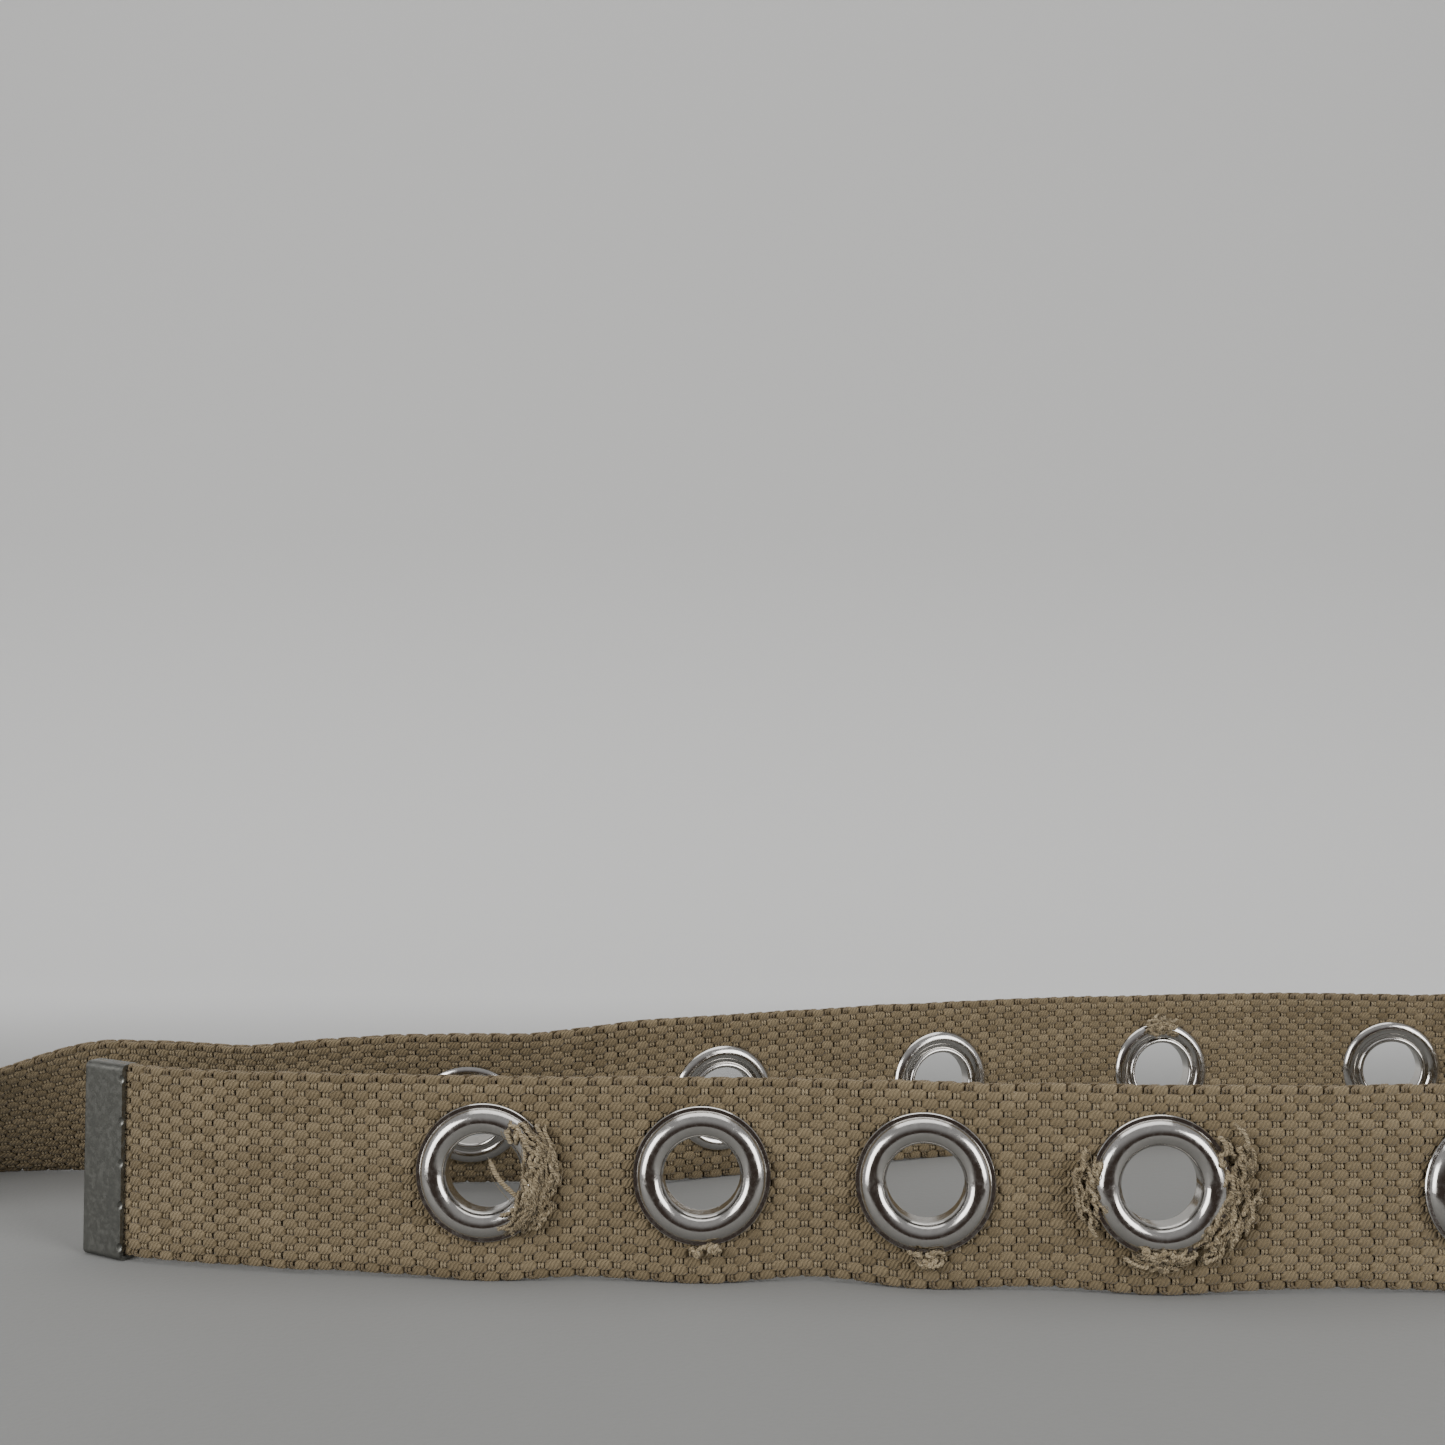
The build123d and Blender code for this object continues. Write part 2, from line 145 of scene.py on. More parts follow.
def lay_route():
    """Samples down the strap to its last flat: distance, middle, tangent and outer vector.

    After them come the grommets' distances, and the distance and place of the last one.
    """
    rows, stops = [], []
    _, _, heading, lean, _ = ROUTE[0]
    x = y = s = 0.0
    flat = lift = 0.0
    for d in np.arange(-TIP_INSIDE, 0, STEP):
        rows.append((d, d * cos(radians(heading)), d * sin(radians(heading)), lean, lift))
    for kind, gap, next_heading, next_lean, _ in ROUTE[1:]:
        next_flat = FLAT_HALF if kind == "grommet" else 0.0
        next_lift = FLAT_LIFT if next_lean == 90 else 0.0
        for d in np.arange(0, flat, STEP):
            rows.append((s + d, x + d * cos(radians(heading)), y + d * sin(radians(heading)), lean, lift))
        x += flat * cos(radians(heading))
        y += flat * sin(radians(heading))
        s += flat
        length = gap - flat - next_flat
        turn = radians(next_heading - heading)
        for t in np.arange(0, 1, STEP / length):
            a, b = radians(heading), radians(heading) + turn * t
            if abs(turn) < 1e-6:
                px, py = x + length * t * cos(a), y + length * t * sin(a)
            else:
                px = x + length / turn * (sin(b) - sin(a))
                py = y + length / turn * (cos(a) - cos(b))
            e = smooth(t)
            lean_here, lift_here = lean + (next_lean - lean) * e, lift + (next_lift - lift) * e
            rows.append((s + length * t, px, py, lean_here, lift_here))
        a, b = radians(heading), radians(next_heading)
        if abs(turn) < 1e-6:
            x, y = x + length * cos(a), y + length * sin(a)
        else:
            x, y = x + length / turn * (sin(b) - sin(a)), y + length / turn * (cos(a) - cos(b))
        s += length
        heading, lean, lift, flat = next_heading, next_lean, next_lift, next_flat
        if kind == "grommet":
            for d in np.arange(0, FLAT_HALF, STEP):
                px, py = x + d * cos(radians(heading)), y + d * sin(radians(heading))
                rows.append((s + d, px, py, lean, lift))
            x += FLAT_HALF * cos(radians(heading))
            y += FLAT_HALF * sin(radians(heading))
            s += FLAT_HALF
            stops.append(s)
    table = np.array(rows)
    lean = np.radians(table[:, 3])
    z = HALF_WIDTH * np.cos(lean) + STRAP_THICK / 2 * np.sin(lean) + table[:, 4]
    point = np.column_stack([table[:, 1], table[:, 2], z])
    tangent = np.gradient(point, table[:, 0], axis=0)
    tangent /= np.linalg.norm(tangent, axis=1)[:, None]
    side = np.cross(tangent, (0, 0, 1))
    side /= np.linalg.norm(side, axis=1)[:, None]
    rise = np.cross(side, tangent)
    outer = side * np.cos(lean)[:, None] + rise * np.sin(lean)[:, None]
    return table[:, 0], point, tangent, outer, stops, (s, x, y)


def fold_route(s, x, y, z):
    """Samples from the last flat up over the heel bar and back under it, and the heel bar's place."""
    bar_x = x - LAST_GAP
    points = []
    for u in np.arange(RAMP_END, FOLD_RISE, -STEP):
        t = min(1.0, max(0.0, (RAMP_END - u) / (RAMP_END - FOLD_BACK)))
        points.append((bar_x + u, z + LAYER_RISE * smooth(t)))
    top = z + 2 * FOLD_R
    for u in np.arange(FOLD_RISE, 0, -STEP):
        points.append((bar_x + u, z + LAYER_RISE + (top - z - LAYER_RISE) * smooth(1 - u / FOLD_RISE)))
    for a in np.arange(0, pi, FOLD_STEP):
        points.append((bar_x - FOLD_R * sin(a), z + FOLD_R + FOLD_R * cos(a)))
    for u in np.arange(0, FOLD_BACK, STEP):
        points.append((bar_x + u, z))
    flat = np.array(points)
    point = np.column_stack([flat[:, 0], np.full(len(flat), y), flat[:, 1]])
    step = np.linalg.norm(np.diff(point, axis=0), axis=1)
    distance = s + FLAT_HALF + np.concatenate([[0], np.cumsum(step)])
    tangent = np.gradient(point, distance, axis=0)
    tangent /= np.linalg.norm(tangent, axis=1)[:, None]
    outer = np.cross(tangent, (0, -1, 0))
    return distance, point, tangent, outer, bar_x


S1, P1, T1, N1, STOPS, (S_LAST, X_LAST, Y_LAST) = lay_route()
Z_LAST = STRAP_THICK / 2 + FLAT_LIFT
S2, P2, T2, N2, BAR_X = fold_route(S_LAST, X_LAST, Y_LAST, Z_LAST)
BEFORE_FOLD = S1 < S_LAST + FLAT_HALF - 0.1
S_TABLE = np.concatenate([S1[BEFORE_FOLD], S2])
P_TABLE = np.concatenate([P1[BEFORE_FOLD], P2])
T_TABLE = np.concatenate([T1[BEFORE_FOLD], T2])
N_TABLE = np.concatenate([N1[BEFORE_FOLD], N2])
W_TABLE = np.cross(N_TABLE, T_TABLE)
STOPS = np.array(STOPS)
S_END = S_TABLE[-1]
S_BAR = S_TABLE[np.argmin(P_TABLE[:, 0])]  # where the strap goes round the heel bar

# The route starts at its own origin. The roller's middle says where that is in the row's frame.
ROLLER_BOX = [np.array(corner) * 1000 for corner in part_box("roller")]
ROLLER = (ROLLER_BOX[0] + ROLLER_BOX[1]) / 2
ROLLER_DROP = Z_LAST + FOLD_R - ROLLER[2]
ORIGIN = np.array([
    ROLLER[0] + (BAR_SPACING**2 - ROLLER_DROP**2) ** 0.5 - BAR_X,
    ROLLER[1] - Y_LAST,
    0.0,
])
P_TABLE = P_TABLE + ORIGIN


def at(table, s):
    """A table's vector at a distance along the strap."""
    return np.stack([np.interp(s, S_TABLE, table[:, k]) for k in range(3)], axis=-1)


def near_grommet(s, reach):
    """1 at a grommet's middle, falling to 0 about reach away along the strap."""
    return hump(np.min(np.abs(np.asarray(s)[..., None] - STOPS), axis=-1), 0.0, reach)


def laid_width(s, w):
    """How far across the strap a yarn really lies.

    The webbing spreads at each grommet, and between them its lower edge lifts off the floor.
    """
    near = near_grommet(s, SPREAD_REACH)
    upright = np.clip(at(W_TABLE, s)[..., 2], 0, 1)
    edge = rough(s, 9.0, 7, 0.14) * (w / HALF_WIDTH) ** 2 * np.sign(w)
    return w * (1 + SPREAD * near) + upright * (EDGE_LIFT - GROMMET_PRESS * near) + edge


def from_hole(s, w):
    """Distance from the nearest grommet's axis to a place on the laid webbing."""
    gaps = np.abs(np.asarray(s)[..., None] - STOPS)
    nearest = np.argmin(gaps, axis=-1)
    gap = np.take_along_axis(gaps, nearest[..., None], -1)[..., 0]
    return np.hypot(gap, laid_width(s, w) - RISES[nearest])


def in_slot(s, w):
    """Whether a place on the webbing is in the prong's slot."""
    return (np.abs(w) < SLOT_HALF) & (np.abs(s - S_BAR) < SLOT_REACH)


def place(s, w, n):
    """Strap space (along, across, out of the outer face) to the row frame, in millimetres.

    The webbing is pressed thin under each flange, bulges round it, and is never quite flat or
    straight between them.
    """
    away = from_hole(s, w)
    pinch = 1 - PINCH * hump(away, PINCH_R, PINCH_WIDTH) + BULGE * hump(away, BULGE_R, BULGE_WIDTH)
    free = 1 - near_grommet(s, FREE_REACH)
    wave = free * (rough(s, 23.0, 5, 0.35) - INWARD + (rough(s, 31.0, 6, 0.5) + TWIST) * w / HALF_WIDTH)
    wave = wave * np.clip((s - TIP_HOLDS[0]) / TIP_HOLDS[1], 0, 1)
    wave = wave * np.clip((S_LAST + LYING_HOLDS[0] - s) / LYING_HOLDS[1], 0, 1)
    p = at(P_TABLE, s)
    across, out = at(W_TABLE, s), at(N_TABLE, s)
    return p + across * laid_width(s, w)[..., None] + out * (n * pinch + wave)[..., None]


# ---- mesh helpers ---------------------------------------------------------------------------------
def make_object(name, verts, quads, body, material, normals=None, uv=None, floats=None):
    """A smooth quad mesh in metres from millimetre points, riding on a body."""
    mesh = bpy.data.meshes.new(name)
    mesh.vertices.add(len(verts))
    mesh.vertices.foreach_set("co", (np.asarray(verts) / 1000).astype(np.float32).ravel())
    mesh.loops.add(quads.size)
    mesh.loops.foreach_set("vertex_index", quads.astype(np.int32).ravel())
    mesh.polygons.add(len(quads))
    mesh.polygons.foreach_set("loop_start", np.arange(0, quads.size, 4, dtype=np.int32))
    mesh.update(calc_edges=True)
    mesh.polygons.foreach_set("use_smooth", np.ones(len(quads), dtype=bool))
    if uv is not None:
        layer = mesh.uv_layers.new(name="yarn")
        layer.uv.foreach_set("vector", uv.astype(np.float32).ravel())
    for key, values in (floats or {}).items():
        attribute = mesh.attributes.new(key, "FLOAT", "POINT")
        attribute.data.foreach_set("value", values.astype(np.float32).ravel())
    if normals is not None:
        mesh.normals_split_custom_set_from_vertices(normals)
    mesh.materials.append(material)
    obj = bpy.data.objects.new(name, mesh)
    bpy.context.scene.collection.objects.link(obj)
    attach(obj, body)
    return obj


def ring_shape(sides, square):
    """Cosine and sine round a ring, pushed towards a rounded rectangle as square goes up from 0."""
    angle = 2 * pi * np.arange(sides) / sides
    c, d = np.cos(angle), np.sin(angle)
    return np.sign(c) * np.abs(c) ** (1 - square), np.sign(d) * np.abs(d) ** (1 - square)


def tube_grid(path, half_a, half_n, sides, square=0.0):
    """Rings round paths in strap space: their points and outward directions.

    path is (tubes, rings, 3). half_a is the half width along the surface, half_n through it.
    """
    t = np.gradient(path, axis=1)
    t /= np.linalg.norm(t, axis=-1, keepdims=True)
    e_n = np.zeros_like(t)
    e_n[..., 2] = 1
    e_n -= t * np.sum(e_n * t, axis=-1, keepdims=True)
    e_n /= np.linalg.norm(e_n, axis=-1, keepdims=True)
    e_a = np.cross(t, e_n)
    c, d = (part[None, None, :, None] for part in ring_shape(sides, square))
    a, b = half_a[..., None, None], half_n[..., None, None]
    e_a, e_n = e_a[:, :, None, :], e_n[:, :, None, :]
    points = path[:, :, None, :] + e_a * (a * c) + e_n * (b * d)
    outward = e_a * (c / a) + e_n * (d / b)
    return points, outward


def tube_quads(tubes, rings, sides):
    """Vertex indices of every quad, (tubes, rings - 1, sides, 4)."""
    k = np.arange(tubes)[:, None, None]
    m = np.arange(rings - 1)[None, :, None]
    j = np.arange(sides)[None, None, :]
    j2 = (j + 1) % sides
    base = (k * rings + m) * sides
    ahead = (k * rings + m + 1) * sides
    return np.stack(np.broadcast_arrays(base + j, ahead + j, ahead + j2, base + j2), axis=-1)


def cut_sections(name, path, half_a, half_n, sides, square, along, tone, unshaded, material):
    """Builds yarns as one object for each section of the strap, leaving out the holes and the slot.

    along is the length down each yarn and tone its lightness. The array after tone says how far each point
    stands out of the weave: painted shade darkens the yarn's colour the less it does.
    """
    tubes, rings = path.shape[:2]
    points, outward = tube_grid(path, half_a, half_n, sides, square)
    world = place(points[..., 0], points[..., 1], points[..., 2])
    ahead, across, out = (at(table, path[..., 0])[:, :, None] for table in (T_TABLE, W_TABLE, N_TABLE))
    normal = ahead * outward[..., 0:1] + across * outward[..., 1:2] + out * outward[..., 2:3]
    normal /= np.linalg.norm(normal, axis=-1, keepdims=True)
    quads = tube_quads(tubes, rings, sides)
    middle = (path[:, :-1] + path[:, 1:]) / 2
    s, w = middle[..., 0], middle[..., 1]
    gone = (from_hole(s, w) < HOLE_CUT) | in_slot(s, w)
    u = np.broadcast_to(along[:, :, None], (tubes, rings, sides))
    v = np.broadcast_to(np.arange(sides)[None, None, :] / sides, (tubes, rings, sides))
    vertex_uv = np.stack([u, v], axis=-1).reshape(-1, 2)
    tone = np.broadcast_to(tone[:, :, None], (tubes, rings, sides)).reshape(-1)
    unshaded = unshaded.reshape(-1)
    world, normal = world.reshape(-1, 3), normal.reshape(-1, 3)
    made = []
    for k in range(len(SECTION_EDGES) - 1):
        inside = (s >= SECTION_EDGES[k]) & (s < SECTION_EDGES[k + 1]) & ~gone
        chosen = quads[inside].reshape(-1, 4)
        uv = vertex_uv[chosen]
        wrap = np.tile(np.arange(sides), int(inside.sum())) == sides - 1
        uv[wrap, 2:, 1] = 1.0
        used, inverse = np.unique(chosen, return_inverse=True)
        made.append(make_object(
            f"{name}_{k + 1:02d}", world[used], inverse.reshape(-1, 4), "strap", material,
            normals=normal[used], uv=uv, floats={"tone": tone[used], "unshaded": unshaded[used]},
        ))
    return made


# ---- materials ------------------------------------------------------------------------------------
def new_material(name, **sockets):
    """A material, its node tree and its shader, with some of the shader's own values set."""
    material = bpy.data.materials.new(name)
    material.use_nodes = True
    tree = material.node_tree
    shader = tree.nodes["Principled BSDF"]
    for key, value in sockets.items():
        shader.inputs[key.replace("_", " ")].default_value = value
    return material, tree, shader


def add(tree, kind, links=None, **values):
    """A node with its properties set, its inputs linked or given values."""
    node = tree.nodes.new(kind)
    for key, value in values.items():
        setattr(node, key, value)
    for key, source in (links or {}).items():
        if isinstance(source, bpy.types.NodeSocket):
            tree.links.new(source, node.inputs[key])
        else:
            node.inputs[key].default_value = source
    return node


def noise(tree, where, scale, detail, **more):
    """Fractal noise, from 0 to 1."""
    links = {"Vector": where, "Scale": scale, "Detail": detail, **more}
    return add(tree, "ShaderNodeTexNoise", links).outputs["Fac"]


def combine(tree, operation, *sources):
    """The result of a sum on numbers."""
    links = dict(enumerate(sources))
    return add(tree, "ShaderNodeMath", links, operation=operation).outputs[0]


def remap(tree, source, low, high, first=0.0, last=1.0, curve="LINEAR"):
    """Turns low..high into first..last, and holds the ends."""
    links = {0: source, 1: low, 2: high, 3: first, 4: last}
    return add(tree, "ShaderNodeMapRange", links, interpolation_type=curve).outputs[0]


def blend(tree, share, first, second):
    """From the first colour to the second as the share goes from 0 to 1."""
    links = {0: share}
    for key, colour in ((6, first), (7, second)):
        links[key] = colour if isinstance(colour, bpy.types.NodeSocket) else (*colour, 1)
    return add(tree, "ShaderNodeMix", links, data_type="RGBA").outputs[2]


def yarn_material(name, dark, light, painted_shade, twist, plies):
    """Cotton yarn: plied, fibrous and uneven in colour, with painted shade where it dives between its
    neighbours and in the grooves between its plies.
    """
    material, tree, shader = new_material(
        name, Roughness=0.93, Specular_IOR_Level=0.25, Sheen_Weight=0.18, Sheen_Roughness=0.45,
    )
    split = add(tree, "ShaderNodeSeparateXYZ", {0: add(tree, "ShaderNodeUVMap", uv_map="yarn").outputs[0]})
    along = combine(tree, "MULTIPLY", split.outputs[0], -twist)
    turned = combine(tree, "MULTIPLY_ADD", split.outputs[1], float(plies), along)
    ply = combine(tree, "SINE", combine(tree, "MULTIPLY", turned, 2 * pi))
    where = add(tree, "ShaderNodeTexCoord").outputs["Object"]
    fibre = noise(tree, where, 2600.0, 2.0, Roughness=0.6)
    patch = noise(tree, where, 90.0, 3.0, Roughness=0.6)
    tone = add(tree, "ShaderNodeAttribute", attribute_name="tone").outputs["Fac"]
    unshaded = add(tree, "ShaderNodeAttribute", attribute_name="unshaded").outputs["Fac"]
    mixed = combine(tree, "MULTIPLY_ADD", patch, 0.6, tone)
    shade = combine(tree, "MULTIPLY_ADD", fibre, 0.7, mixed)
    colour = blend(tree, remap(tree, shade, 0.65, 1.65), dark, light)
    # painted shade: the yarn's colour turns to its shade colour in the grooves between its plies and where it
    # lies low in the weave
    ply_unshaded = remap(tree, ply, -1.0, -0.2, 0.72, 1.0)
    shown = combine(tree, "MULTIPLY", remap(tree, unshaded, 0.0, 0.6), ply_unshaded)
    tree.links.new(blend(tree, shown, painted_shade, colour), shader.inputs["Base Color"])
    height = combine(tree, "MULTIPLY_ADD", ply, 0.8, fibre)
    bump = add(tree, "ShaderNodeBump", {"Strength": 0.8, "Distance": 0.00016, "Height": height})
    tree.links.new(bump.outputs[0], shader.inputs["Normal"])
    return material


def core_material():
    """Painted shade: the inside of the cloth, dark and mottled, where the gaps between the yarns are in
    shadow.
    """
    material, tree, shader = new_material("webbing_core", Roughness=0.95)
    mottle = add(tree, "ShaderNodeTexNoise", {"Scale": 900.0, "Detail": 3.0}).outputs["Fac"]
    colour = blend(tree, mottle, (0.06, 0.042, 0.021), (0.115, 0.082, 0.043))
    tree.links.new(colour, shader.inputs["Base Color"])
    return material


def metal_material(name, colour, roughness, dent, grain, lean=0.0):
    """Plated metal: a few shallow dents and fine scratches, and patches that have lost some polish.

    The lean turns the shading a little towards the world's up, as if the piece were tipped back. It
    moves only the reflections, and the mesh stays as it is.
    """
    material, tree, shader = new_material(name, Metallic=1.0)
    where = add(tree, "ShaderNodeTexCoord").outputs["Object"]
    broad = noise(tree, where, 130.0, 1.0)
    fine = noise(tree, where, 900.0, 3.0, Roughness=0.6)
    lines = noise(tree, where, 420.0, 3.0, Distortion=2.2)
    tree.links.new(remap(tree, fine, 0.45, 0.75, roughness, roughness * 2.0), shader.inputs["Roughness"])
    tarnish = [c * 0.80 for c in colour]
    tree.links.new(blend(tree, lines, tarnish, colour), shader.inputs["Base Color"])
    normal = add(tree, "ShaderNodeNewGeometry").outputs["Normal"]
    leaned = add(tree, "ShaderNodeVectorMath", {0: normal, 1: (0.0, 0.0, lean)}, operation="ADD")
    tipped = add(tree, "ShaderNodeVectorMath", {0: leaned.outputs[0]}, operation="NORMALIZE")
    low = add(tree, "ShaderNodeBump", {
        "Strength": 1.0, "Distance": dent, "Height": broad, "Normal": tipped.outputs[0],
    })
    high = add(tree, "ShaderNodeBump", {
        "Strength": 0.5, "Distance": grain, "Height": lines, "Normal": low.outputs[0],
    })
    tree.links.new(high.outputs[0], shader.inputs["Normal"])
    return material


# the third colour of each yarn is its painted shade, for where it lies low in the weave
WARP = yarn_material("warp_yarn", (0.195, 0.148, 0.083), (0.35, 0.275, 0.166), (0.10, 0.070, 0.034), 1.4, 6)
WEFT = yarn_material("weft_yarn", (0.31, 0.245, 0.148), (0.52, 0.42, 0.265), (0.14, 0.10, 0.055), 1.9, 3)
LOOSE = yarn_material("loose_yarn", (0.31, 0.24, 0.14), (0.64, 0.53, 0.35), (0.16, 0.12, 0.07), 1.6, 3)
THREAD = yarn_material("sewing_thread", (0.28, 0.225, 0.14), (0.43, 0.355, 0.24), (0.16, 0.12, 0.07), 1.9, 3)
CORE = core_material()
NICKEL = metal_material("nickel_plate", (0.58, 0.56, 0.53), 0.13, 0.00014, 0.000004, lean=0.19)
WASHER = metal_material("washer_plate", (0.60, 0.58, 0.55), 0.13, 0.00016, 0.000005, lean=0.12)
GUNMETAL = metal_material("tip_plate", (0.22, 0.22, 0.20), 0.34, 0.00006, 0.000006)

for name, obj in NODES.items():
    if name in ("webbing", "fold_stitching"):
        continue
    metal = WASHER if name.startswith("washer") else GUNMETAL if name == "tip" else NICKEL
    for slot in obj.material_slots:
        slot.material = metal

# ---- webbing --------------------------------------------------------------------------------------
# The yarns are cut into sections midway between every other pair of grommets, and before the fold.
MIDWAYS = [(a + b) / 2 for a, b in zip(STOPS[:-1], STOPS[1:])]
SECTION_EDGES = [-np.inf] + MIDWAYS[1::2] + [S_LAST + 20.0, np.inf]


def weave_drift(s):
    """How far the columns stray along the strap, in columns."""
    return rough(s, 40.0, 8, 0.16)


def make_warp():
    """One yarn to each row, over one column and under the next, so that each row is a chain of beads."""
    rng = np.random.default_rng(11)
    columns = np.arange(round((1 - TIP_INSIDE) / COLUMN_PITCH), int((S_END - 0.5) / COLUMN_PITCH))
    turns = (columns[:, None] + np.array(BEAD_RINGS)).ravel()
    bead = np.repeat(np.arange(len(columns)), len(BEAD_RINGS))
    s = turns * COLUMN_PITCH + BEAD_OVERHANG * np.sin(2 * pi * turns)
    row = np.arange(ROWS)
    shape = (ROWS, len(s))
    shift = np.stack([rough(s, 5.0, 500 + r, 0.05) for r in row]) - weave_drift(s)
    s_yarn = s + shift * COLUMN_PITCH
    wander = np.stack([rough(s, 17.0, 100 + r, 0.08) + rough(s, 4.1, 200 + r, 0.06) for r in row])
    w_yarn = (row[:, None] - (ROWS - 1) / 2) * ROW_PITCH + wander
    lift = np.cos(pi * turns) * np.where(row % 2 == 0, 1, -1)[:, None]
    size = rng.uniform(-1, 1, (ROWS, len(columns)))[:, bead]
    height = np.tanh(WARP_STEEP * lift) / np.tanh(WARP_STEEP)
    half_a = WARP_NARROW + BEAD_SWELL * np.abs(lift) ** BEAD_ROUND + 0.035 * size
    outermost = np.isin(row, (0, ROWS - 1))[:, None]
    height = np.where(outermost, EDGE_HEIGHT * height, height)
    half_a = np.where(outermost, EDGE_WIDTH + EDGE_SWELL * np.abs(lift), half_a)
    path = np.stack([s_yarn, w_yarn, height * (WARP_HEIGHT + 0.05 * size)], axis=-1)
    half_n = np.full(shape, WARP_THICK) - 0.03 * np.abs(lift)
    ring_n = height[..., None] * WARP_HEIGHT + half_n[..., None] * ring_shape(WARP_SIDES, WARP_SQUARE)[1]
    # how far each point stands out of the weave: the lower it lies, the more painted shade it gets
    unshaded = np.clip((np.abs(ring_n) - 0.05) / 0.9, 0, 1)
    tone = 0.5 + 0.20 * size + np.stack([rough(s, 60.0, 300 + r, 0.2) for r in row])
    along = np.broadcast_to(s, shape)
    return cut_sections("warp", path, half_a, half_n, WARP_SIDES, WARP_SQUARE, along, tone, unshaded, WARP)


def make_weft():
    """A pair of threads that snakes across and back, turning round the outer warp at each edge."""
    half_w = ROWS * ROW_PITCH / 2 - WEFT_INSET
    across = np.linspace(-half_w, half_w, ROWS * WEFT_RINGS + 1)
    turn = np.array(WEFT_TURN)
    s_list, w_list, n_list = [], [], []
    for c in range(int((S_END - 1) / COLUMN_PITCH)):
        way = 1 if c % 2 == 0 else -1
        w = across * way
        start = c * COLUMN_PITCH
        stray = rough(w + 500 * (c % 7), 12.0, 400 + c % 50, 0.12) - weave_drift(start) * COLUMN_PITCH
        n = -np.cos(pi * (w / ROW_PITCH + (ROWS - 1) / 2)) * way * WEFT_HEIGHT
        s_list += [start + stray, (c + turn) * COLUMN_PITCH]
        w_list += [w, way * (half_w + np.array(WEFT_LOOP))]
        n_list += [n, n[-1] * np.cos(pi * turn)]
    s, w, n = (np.concatenate(part) for part in (s_list, w_list, n_list))
    path = np.stack([np.stack([s + side * WEFT_APART, w, n], axis=-1) for side in (-1, 1)])
    along = np.concatenate([[0], np.cumsum(np.linalg.norm(np.diff(path[0], axis=0), axis=1))])
    half_a = np.full(path.shape[:2], WEFT_WIDE)
    half_n = np.full(path.shape[:2], WEFT_THICK)
    # how far each point stands out of the weave: the lower it lies, the more painted shade it gets
    unshaded = np.abs(path[..., 2])[..., None] + WEFT_THICK * ring_shape(WEFT_SIDES, 0.0)[1]
    at_edge = np.abs(path[..., 1])[..., None] > half_w - 0.9
    unshaded = np.where(at_edge, 0.22, np.clip(unshaded / 0.55, 0, 1))  # painted shade: the loops at the edges take mostly the shade colour
    tone = 0.5 + np.stack([rough(along, 7.0, 21, 0.25), rough(along, 9.0, 22, 0.25)])
    along = np.stack([along, along + 0.7])
    return cut_sections("weft", path, half_a, half_n, WEFT_SIDES, 0.0, along, tone, unshaded, WEFT)


def make_core():
    """The inside of the cloth, a sheet that closes the gaps between the yarns, in a dark colour that paints
    the shade in them.
    """
    grid_s = np.arange(-TIP_INSIDE + 1, S_END - 1, CORE_STEP)
    grid_w = np.linspace(-CORE_HALF, CORE_HALF, CORE_LINES)
    s, w = np.meshgrid(grid_s, grid_w, indexing="ij")
    points = place(s, w, np.zeros_like(s)).reshape(-1, 3)
    i, j = np.meshgrid(np.arange(len(grid_s) - 1), np.arange(len(grid_w) - 1), indexing="ij")
    corner = i * len(grid_w) + j
    quads = np.stack([corner, corner + len(grid_w), corner + len(grid_w) + 1, corner + 1], axis=-1)
    s, w = (s[:-1, :-1] + s[1:, 1:]) / 2, (w[:-1, :-1] + w[1:, 1:]) / 2
    gone = (from_hole(s, w) < CORE_CUT) | in_slot(s, w)
    used, inverse = np.unique(quads[~gone].reshape(-1, 4), return_inverse=True)
    return make_object("webbing_core", points[used], inverse.reshape(-1, 4), "strap", CORE)


warp = make_warp()
weft = make_weft()

core = make_core()
for piece in [core] + warp + weft:
    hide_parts("webbing")

# ---- loose yarns, stitching and bound edges ---------------------------------------------------------
# Heights of the metal above the strap's middle, at radii from a grommet's axis.
FLANGE_RADII = (6.5, 7.3, 8.0, 9.0, 9.8, 11.0, 12.2, 13.0, 13.3)
FLANGE_HEIGHTS = (1.0, 1.6, 2.6, 3.05, 3.2, 2.85, 1.8, 1.7, 1.3)
WASHER_RADII = (7.3, 8.2, 9.0, 11.0, 12.4, 12.8)
WASHER_HEIGHTS = (2.2, 2.45, 1.8, 2.45, 1.6, 1.3)

YARN_RINGS = 30
YARN_CLEAR = 0.30  # a loose yarn's least height over the metal
PLY_R, PLY_APART, PLY_TURN = 0.25, 0.20, 1.6
WISP_END = 0.12  # the share of a yarn over which it thins to each end, and how thin it gets there
FIBRE_R, FIBRE_LOW = 0.055, 1.4  # a fibre stays at least the second away from the strap's middle
FIBRE_SWAY = (0.55, 0.55, 0.30)  # along, across and outwards

BIND_WIDE, BIND_THICK = 0.55, 1.36  # halves
BIND_STEP, BIND_PITCH, BIND_WRAP = 0.12, 0.62, 0.07
END_INSET, END_HALF = 0.8, 18.4  # of the binding on the webbing's cut end
STITCH_ROWS, STITCHES, STITCH_PITCH = (36.5, 40.5), 11, 3.3  # the rows are this far from the heel bar
STITCH_HALF, STITCH_PROUD, STITCH_SLANT, STITCH_R = 1.15, 0.10, 0.12, 0.30


